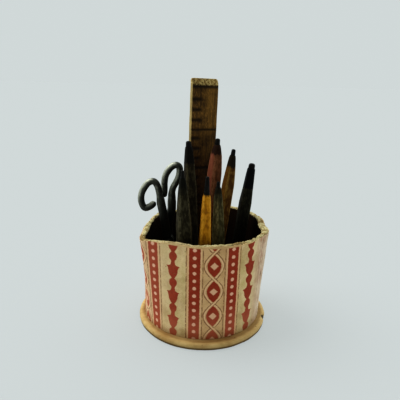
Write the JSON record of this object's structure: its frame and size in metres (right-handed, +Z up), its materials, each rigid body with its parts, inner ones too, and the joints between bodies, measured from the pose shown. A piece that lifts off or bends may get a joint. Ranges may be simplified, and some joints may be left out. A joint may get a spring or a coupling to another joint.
{
  "type": "pen holder cup",
  "caption": "Round card pen cup wrapped in printed paper on a wooden disc, holding a wooden ruler, bent-wire scissors and whittled pencils.",
  "frame": {"origin": "centre of the base disc's underside", "axes": "+Z up out of the cup's mouth, -Y the front that faces the viewer, +X to the viewer's right"},
  "size_m": [0.0841, 0.0838, 0.1522],
  "materials": {
    "base_wood": "worn, matte, soft rounded edge",
    "card": "raw torn card, dark inside",
    "printed_paper": "matte cream paper block-printed in brick red",
    "ruler_wood": "dark stained wood with inked lines, satin",
    "scissors_steel": "grey drawn wire, satin",
    "rivet_steel": "satin",
    "slate_paint": "stained, satin",
    "brown_paint": "stained, satin",
    "rose_paint": "stained, satin",
    "olive_paint": "stained, satin",
    "navy_paint": "stained, satin",
    "yellow_paint": "painted, satin",
    "green_paint": "stained, satin",
    "pencil_lead": "graphite, satin"
  },
  "bodies": {
    "cup": {"base_disc": "base_wood", "cup_wall": "card", "paper_wrap": "printed_paper"},
    "ruler": {"ruler": "ruler_wood"},
    "scissors": {"scissors_back_half": "scissors_steel", "scissors_rivet": "rivet_steel"},
    "scissors_front": {"scissors_front_half": "scissors_steel"},
    "slate_pencil": {"slate_pencil_casing": "slate_paint", "slate_pencil_lead": "pencil_lead"},
    "brown_pencil": {"brown_pencil_casing": "brown_paint", "brown_pencil_lead": "pencil_lead"},
    "rose_pencil": {"rose_pencil_casing": "rose_paint", "rose_pencil_lead": "pencil_lead"},
    "olive_pencil": {"olive_pencil_casing": "olive_paint", "olive_pencil_lead": "pencil_lead"},
    "navy_pencil": {"navy_pencil_casing": "navy_paint", "navy_pencil_lead": "pencil_lead"},
    "yellow_pencil": {"yellow_pencil_casing": "yellow_paint", "yellow_pencil_lead": "pencil_lead"},
    "green_pencil": {"green_pencil_casing": "green_paint", "green_pencil_lead": "pencil_lead"}
  },
  "joints": [
    {"name": "ruler_lift", "type": "slide", "parent": "cup", "child": "ruler", "axis": [0.0217, 0, 0.9998], "range_m": [0, 0.15]},
    {"name": "scissors_lift", "type": "slide", "parent": "cup", "child": "scissors", "axis": [-0.1028, 0, 0.9947], "range_m": [0, 0.15]},
    {"name": "scissors_open", "type": "hinge", "parent": "scissors", "child": "scissors_front", "pos_m": [-0.0231, 0.005, 0.05], "axis": [0, -1, 0], "range_deg": [0, 14]},
    {"name": "slate_pencil_lift", "type": "slide", "parent": "cup", "child": "slate_pencil", "axis": [-0.0484, 0.0681, 0.9965], "range_m": [0, 0.15]},
    {"name": "brown_pencil_lift", "type": "slide", "parent": "cup", "child": "brown_pencil", "axis": [-0.0291, -0.0523, 0.9982], "range_m": [0, 0.15]},
    {"name": "rose_pencil_lift", "type": "slide", "parent": "cup", "child": "rose_pencil", "axis": [0.0658, -0.0222, 0.9976], "range_m": [0, 0.15]},
    {"name": "olive_pencil_lift", "type": "slide", "parent": "cup", "child": "olive_pencil", "axis": [0.1202, 0.0484, 0.9916], "range_m": [0, 0.15]},
    {"name": "navy_pencil_lift", "type": "slide", "parent": "cup", "child": "navy_pencil", "axis": [0.1281, 0.0552, 0.9902], "range_m": [0, 0.15]},
    {"name": "yellow_pencil_lift", "type": "slide", "parent": "cup", "child": "yellow_pencil", "axis": [0.0155, -0.0506, 0.9986], "range_m": [0, 0.15]},
    {"name": "green_pencil_lift", "type": "slide", "parent": "cup", "child": "green_pencil", "axis": [-0.0338, 0, 0.9994], "range_m": [0, 0.15]}
  ]
}
